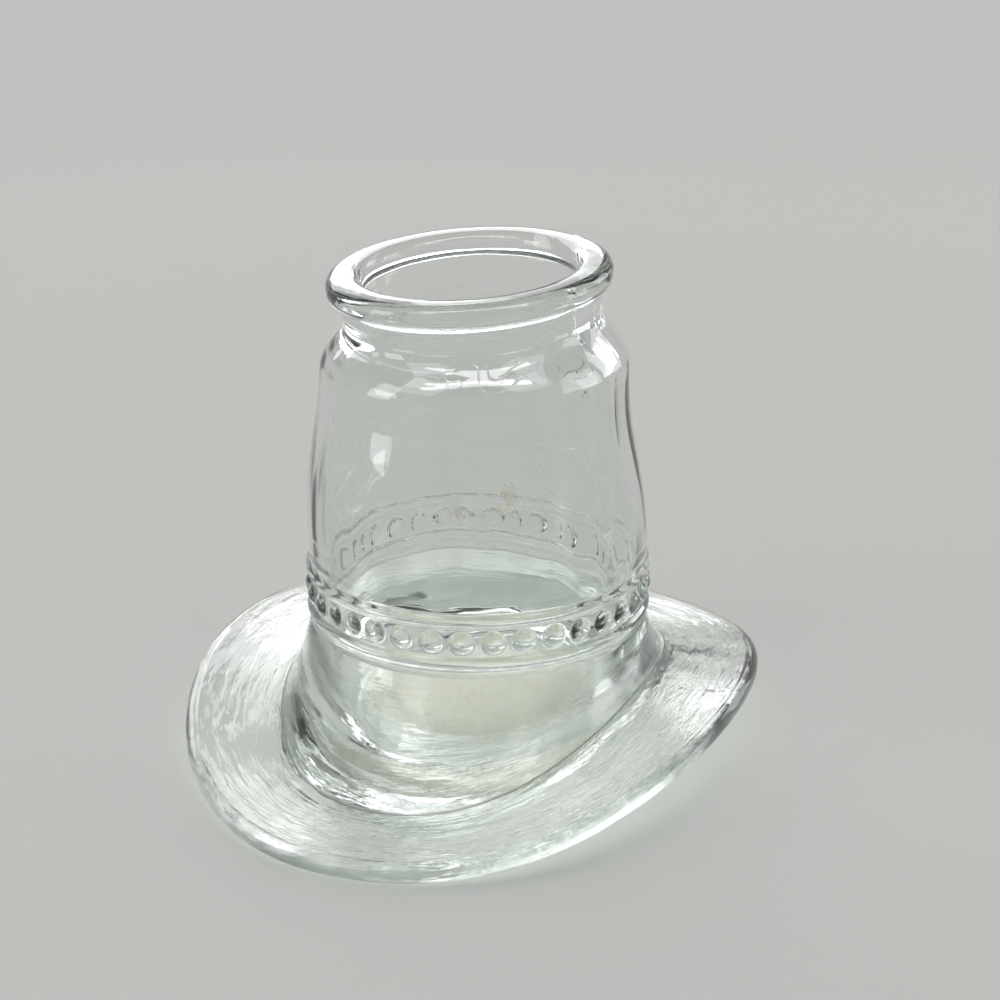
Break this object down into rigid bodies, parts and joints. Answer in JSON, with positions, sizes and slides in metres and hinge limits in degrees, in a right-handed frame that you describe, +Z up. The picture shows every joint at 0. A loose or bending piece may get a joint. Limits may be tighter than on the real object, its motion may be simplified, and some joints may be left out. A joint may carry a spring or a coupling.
{
  "type": "glass hat",
  "caption": "Clear moulded-glass jar in the shape of a hat, with a rolled lip, waisted neck, beaded hatband and curled oval brim, used as a small holder or ornament.",
  "frame": {"origin": "middle of the base, on the surface that the hat stands on", "axes": "+Z up through the crown, -Y towards the front of the brim, +X and -X towards the curled-up sides"},
  "size_m": [0.081, 0.102, 0.0711],
  "materials": {
    "clear_glass": "clear fire-polished glass with a faint grey-green cast, slightly wavy"
  },
  "bodies": {
    "root": {"mouth_lip": "clear_glass", "neck": "clear_glass", "crown_wall": "clear_glass", "upper_cord": "clear_glass", "bead_row": "clear_glass", "lower_cord": "clear_glass", "band_wall": "clear_glass", "crown_foot": "clear_glass", "well_floor": "clear_glass", "brim": "clear_glass", "mould_seams": "clear_glass"}
  },
  "joints": []
}
